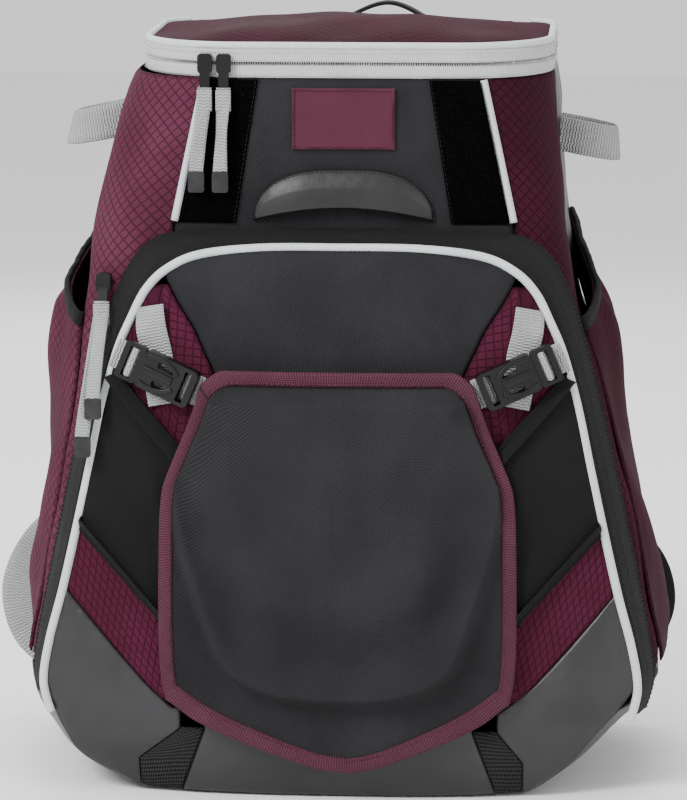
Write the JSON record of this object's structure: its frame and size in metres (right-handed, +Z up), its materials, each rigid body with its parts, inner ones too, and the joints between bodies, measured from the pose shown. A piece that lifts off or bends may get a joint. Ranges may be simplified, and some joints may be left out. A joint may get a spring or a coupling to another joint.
{
  "type": "bat backpack",
  "caption": "Tapered sports backpack with a zipped lid, arched front pocket, buckled moulded helmet flap, side bat sleeves, webbing loops and padded shoulder straps.",
  "frame": {"origin": "centre of the flat underside of the base", "axes": "+Z up, the pocket and flap face -Y, the shoulder straps are on +Y, +X is to the right seen from the front"},
  "size_m": [0.4548, 0.2976, 0.4809],
  "materials": {
    "ripstop": "maroon ripstop weave with a raised grid, slight sheen",
    "ballistic": "charcoal plain-weave polyester, matte",
    "coated": "dark grey coated cloth, satin to glossy with soft wrinkles",
    "webbing": "light grey woven webbing",
    "black_webbing": "black woven tape and webbing",
    "zip_tape": "light grey zip tape",
    "piping": "pale grey piping, smooth",
    "binding": "maroon binding tape, ribbed",
    "stretch_mesh": "black stretch cloth and spacer mesh",
    "padding_mesh": "black padded spacer mesh",
    "hook_loop": "black loop pile",
    "moulded": "black moulded plastic, satin"
  },
  "bodies": {
    "root": {"back_panel": "padding_mesh", "base_boot": "coated", "bat_sleeve_left": "ripstop", "bat_sleeve_right": "ripstop", "buckle_plug_left": "moulded", "buckle_plug_right": "moulded", "buckle_socket_left": "moulded", "buckle_socket_right": "moulded", "buckle_webbing_left": "webbing", "buckle_webbing_right": "webbing", "cinch_strap_left": "webbing", "cinch_strap_right": "webbing", "corner_boot_left": "coated", "corner_boot_right": "coated", "crescent_cover": "coated", "front_panel": "ballistic", "grey_strip_left": "coated", "grey_strip_right": "coated", "gusset_left": "stretch_mesh", "gusset_right": "stretch_mesh", "haul_loop": "black_webbing", "ladder_webbing_left": "webbing", "ladder_webbing_right": "webbing", "lid": "ripstop", "lid_piping": "piping", "lid_pull_a": "webbing", "lid_pull_a_tip": "moulded", "lid_pull_b": "webbing", "lid_pull_b_tip": "moulded", "lid_slider_a": "moulded", "lid_slider_b": "moulded", "lid_tape_lower": "zip_tape", "lid_tape_upper": "zip_tape", "loop_strip_left": "hook_loop", "loop_strip_right": "hook_loop", "lower_webbing_left": "webbing", "lower_webbing_right": "black_webbing", "panel_piping_left": "piping", "panel_piping_right": "piping", "patch": "binding", "pocket_band": "black_webbing", "pocket_corner_left": "ripstop", "pocket_corner_right": "ripstop", "pocket_panel": "ballistic", "pocket_piping": "piping", "pocket_pull_a": "webbing", "pocket_pull_a_tip": "moulded", "pocket_pull_b": "webbing", "pocket_pull_b_tip": "moulded", "pocket_slider": "moulded", "shield": "ballistic", "shield_binding": "binding", "shoulder_strap_left": "padding_mesh", "shoulder_strap_right": "padding_mesh", "side_loop_left": "webbing", "side_loop_right": "webbing", "side_panel_left": "ripstop", "side_panel_right": "ripstop", "vent_left": "stretch_mesh", "vent_right": "stretch_mesh"}
  },
  "joints": []
}
